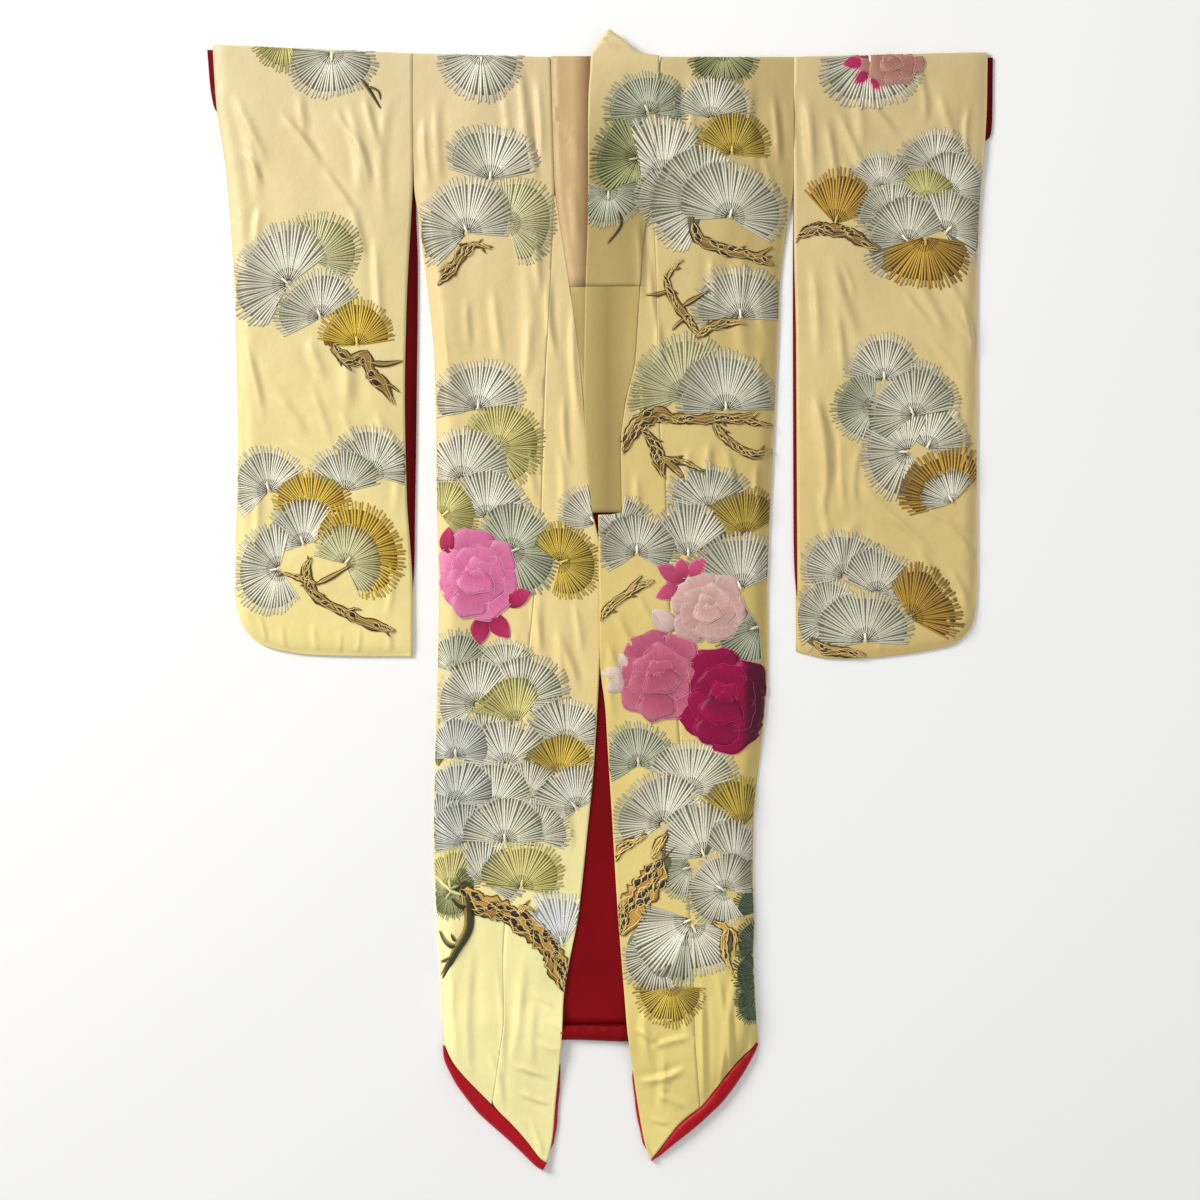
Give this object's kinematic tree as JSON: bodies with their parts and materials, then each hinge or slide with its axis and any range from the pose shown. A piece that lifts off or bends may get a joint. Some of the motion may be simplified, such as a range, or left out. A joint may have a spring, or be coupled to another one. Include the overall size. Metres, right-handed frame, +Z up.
{
  "type": "uchikake wedding kimono",
  "caption": "Padded bridal over-kimono laid flat, front up, with long hanging sleeves, a wide collar, red lining and a padded red hem roll",
  "frame": {"origin": "centre of the bounding box on the floor the garment lies on", "axes": "+X to the wearer's left sleeve, +Y from hem to neck, +Z up from the floor, out of the garment's front"},
  "size_m": [1.3, 1.886, 0.0271],
  "materials": {
    "body_panel_left": "cream-gold silk satin with raised metallic embroidery",
    "body_panel_right": "cream-gold silk satin with raised metallic embroidery",
    "overlap_panel_left": "cream-gold silk satin with raised metallic embroidery",
    "overlap_panel_right": "cream-gold silk satin with raised metallic embroidery",
    "sleeve_left": "cream-gold silk satin with raised metallic embroidery",
    "sleeve_right": "cream-gold silk satin with raised metallic embroidery",
    "sleeve_lining_left": "crimson silk, soft sheen",
    "sleeve_lining_right": "crimson silk, soft sheen",
    "collar_band_left": "olive-gold satin",
    "collar_band_right": "olive-gold satin",
    "over_collar_left": "cream-gold silk satin with raised metallic embroidery",
    "over_collar_right": "cream-gold silk satin with raised metallic embroidery",
    "back_lining": "crimson silk, soft sheen",
    "hem_roll_left": "crimson silk, soft sheen",
    "hem_roll_right": "crimson silk, soft sheen",
    "hem_roll_back": "crimson silk, soft sheen"
  },
  "bodies": {
    "root": {"body_panel_left": "body_panel_left", "body_panel_right": "body_panel_right", "overlap_panel_left": "overlap_panel_left", "overlap_panel_right": "overlap_panel_right", "sleeve_left": "sleeve_left", "sleeve_right": "sleeve_right", "sleeve_lining_left": "sleeve_lining_left", "sleeve_lining_right": "sleeve_lining_right", "collar_band_left": "collar_band_left", "collar_band_right": "collar_band_right", "over_collar_left": "over_collar_left", "over_collar_right": "over_collar_right", "back_lining": "back_lining", "hem_roll_left": "hem_roll_left", "hem_roll_right": "hem_roll_right", "hem_roll_back": "hem_roll_back"}
  },
  "joints": []
}
